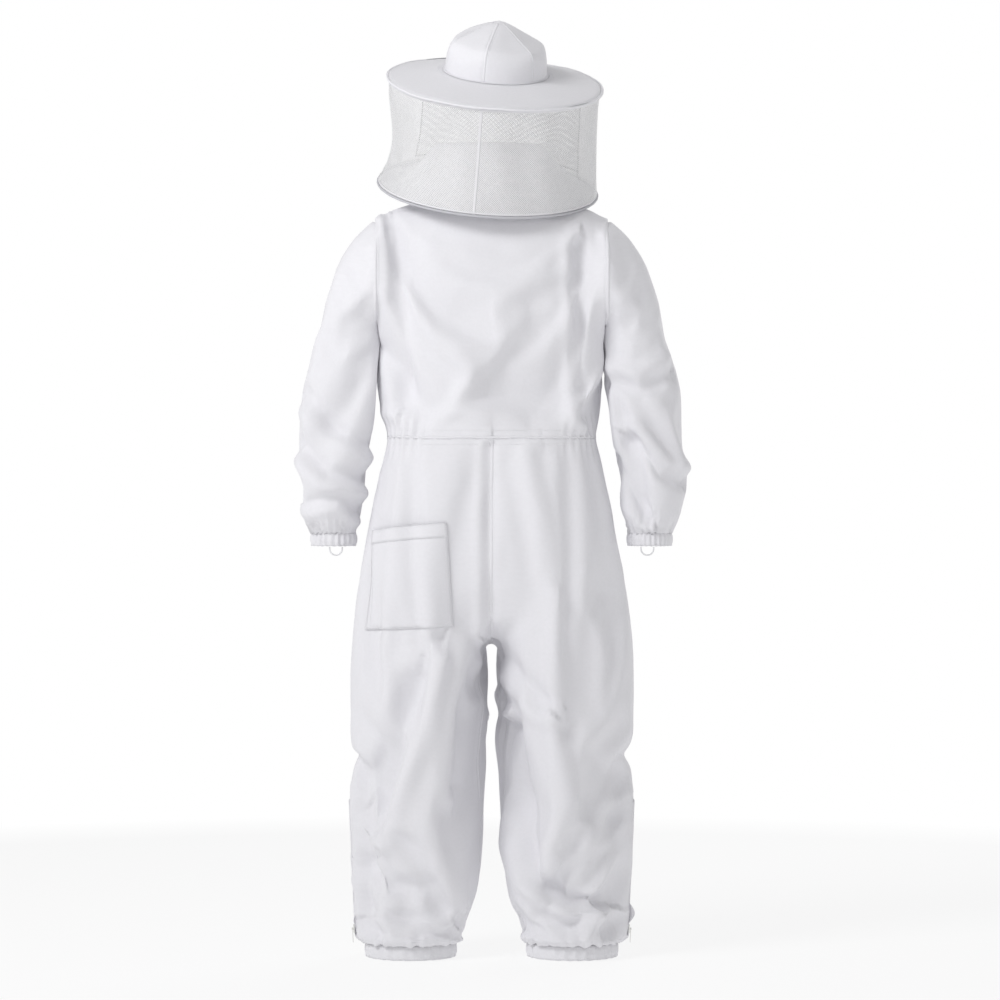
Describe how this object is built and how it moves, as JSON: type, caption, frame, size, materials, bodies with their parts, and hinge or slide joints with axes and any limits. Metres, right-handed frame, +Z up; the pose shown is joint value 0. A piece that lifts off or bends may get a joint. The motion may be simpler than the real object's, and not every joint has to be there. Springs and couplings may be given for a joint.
{
  "type": "beekeeping suit",
  "caption": "White beekeeping coverall with zip-on brimmed hat and hooped veil, elastic cuffs and hems, zips and patch pockets, shaped as worn.",
  "frame": {"origin": "centre of the neck opening, level with the seam between collar and bodice", "axes": "+Z up, -Y the way the wearer faces, +X to the wearer's left"},
  "size_m": [0.748, 0.4676, 1.7917],
  "materials": {
    "cotton_panel": "matt white cotton and polyester twill",
    "cotton_casing": "matt white twill, folded double and gathered",
    "elastic": "braided white elastic",
    "white_netting": "fine white polyester netting",
    "window_netting": "fine dark see-through netting",
    "dark_piping": "dark grey woven piping",
    "spring_wire": "sprung steel wire",
    "brim_board": "closed-cell foam board",
    "zip_tape": "white woven zip tape",
    "zip_teeth": "white moulded teeth",
    "zip_metal": "white enamelled zinc"
  },
  "bodies": {
    "root": {"back_bodice": "cotton_panel", "front_bodice_left": "cotton_panel", "front_bodice_right": "cotton_panel", "back_trouser_left": "cotton_panel", "back_trouser_right": "cotton_panel", "front_trouser_left": "cotton_panel", "front_trouser_right": "cotton_panel", "collar": "cotton_panel", "back_pocket": "cotton_panel", "chest_pocket": "cotton_panel", "hip_pockets": "cotton_panel", "ankle_flap_left": "cotton_panel", "ankle_flap_right": "cotton_panel", "hanger_loop": "cotton_panel", "waist_casing": "cotton_casing", "ankle_casing_left": "cotton_casing", "ankle_casing_right": "cotton_casing", "waist_elastics": "elastic", "ankle_elastics": "elastic", "front_zip_tapes": "zip_tape", "front_zip_teeth": "zip_teeth", "ankle_zip_left": "zip_teeth", "ankle_zip_right": "zip_teeth", "neck_zip_lower": "zip_teeth"},
    "veil": {"crown_panels": "cotton_panel", "sweatband": "cotton_panel", "rear_head_strap": "cotton_panel", "brim_cloth": "cotton_panel", "brim_stiffener": "brim_board", "brim_wire": "spring_wire", "brim_binding": "cotton_panel", "veil_mesh_left": "white_netting", "veil_mesh_right": "white_netting", "veil_window": "window_netting", "window_piping": "dark_piping", "back_seam_tape": "cotton_panel", "hoop_wire": "spring_wire", "hoop_binding": "cotton_panel", "veil_skirt": "cotton_panel", "neck_zip_upper": "zip_teeth"},
    "sleeve_left_body": {"sleeve_left": "cotton_panel", "cuff_casing_left": "cotton_casing", "cuff_elastic_left": "elastic", "thumb_loop_left": "elastic"},
    "neck_slider_left_body": {"neck_zip_slider_left": "zip_metal"},
    "neck_pull_left_body": {"neck_zip_pull_left": "zip_metal"},
    "ankle_slider_left_body": {"ankle_zip_slider_left": "zip_metal"},
    "ankle_pull_left_body": {"ankle_zip_pull_left": "zip_metal"},
    "sleeve_right_body": {"sleeve_right": "cotton_panel", "cuff_casing_right": "cotton_casing", "cuff_elastic_right": "elastic", "thumb_loop_right": "elastic"},
    "neck_slider_right_body": {"neck_zip_slider_right": "zip_metal"},
    "neck_pull_right_body": {"neck_zip_pull_right": "zip_metal"},
    "ankle_slider_right_body": {"ankle_zip_slider_right": "zip_metal"},
    "ankle_pull_right_body": {"ankle_zip_pull_right": "zip_metal"},
    "front_slider_body": {"front_zip_slider": "zip_metal"},
    "front_pull_body": {"front_zip_pull": "zip_metal"},
    "chest_flap_body": {"chest_pocket_flap": "cotton_panel"}
  },
  "joints": [
    {"name": "veil_tilt", "type": "hinge", "parent": "root", "child": "veil", "pos_m": [0.008, 0.15362, -0.06951], "axis": [-1, 0, 0], "range_deg": [0, 100]},
    {"name": "shoulder_left", "type": "hinge", "parent": "root", "child": "sleeve_left_body", "pos_m": [0.2203, 0.015, -0.175], "axis": [-1, 0, 0], "range_deg": [-35, 110]},
    {"name": "shoulder_right", "type": "hinge", "parent": "root", "child": "sleeve_right_body", "pos_m": [-0.2203, 0.015, -0.175], "axis": [-1, 0, 0], "range_deg": [-35, 110]},
    {"name": "neck_zip_left", "type": "hinge", "parent": "root", "child": "neck_slider_left_body", "pos_m": [0, 0, 0.0583], "axis": [0, 0, 1], "range_deg": [0, 148]},
    {"name": "neck_pull_left", "type": "hinge", "parent": "neck_slider_left_body", "child": "neck_pull_left_body", "pos_m": [0.01097, -0.08933, 0.0583], "axis": [0, 0, -1], "range_deg": [0, 60]},
    {"name": "neck_zip_right", "type": "hinge", "parent": "root", "child": "neck_slider_right_body", "pos_m": [0, 0, 0.0583], "axis": [0, 0, -1], "range_deg": [0, 148]},
    {"name": "neck_pull_right", "type": "hinge", "parent": "neck_slider_right_body", "child": "neck_pull_right_body", "pos_m": [-0.01097, -0.08933, 0.0583], "axis": [0, 0, 1], "range_deg": [0, 60]},
    {"name": "front_zip", "type": "slide", "parent": "root", "child": "front_slider_body", "axis": [0, -0.0499, -0.9988], "range_m": [0, 0.779]},
    {"name": "front_pull", "type": "hinge", "parent": "front_slider_body", "child": "front_pull_body", "pos_m": [0, -0.09109, 0.03124], "axis": [-1, 0, 0], "range_deg": [0, 170]},
    {"name": "ankle_zip_left", "type": "slide", "parent": "root", "child": "ankle_slider_left_body", "axis": [0.045, 0, 0.999], "range_m": [0, 0.236]},
    {"name": "ankle_pull_left", "type": "hinge", "parent": "ankle_slider_left_body", "child": "ankle_pull_left_body", "pos_m": [0.26704, 0.015, -1.42821], "axis": [0, -1, 0], "range_deg": [0, 170]},
    {"name": "ankle_zip_right", "type": "slide", "parent": "root", "child": "ankle_slider_right_body", "axis": [-0.045, 0, 0.999], "range_m": [0, 0.236]},
    {"name": "ankle_pull_right", "type": "hinge", "parent": "ankle_slider_right_body", "child": "ankle_pull_right_body", "pos_m": [-0.26704, 0.015, -1.42821], "axis": [0, 1, 0], "range_deg": [0, 170]},
    {"name": "chest_flap", "type": "hinge", "parent": "root", "child": "chest_flap_body", "pos_m": [0.099, -0.09737, -0.15038], "axis": [-1, 0, 0], "range_deg": [0, 85]}
  ]
}
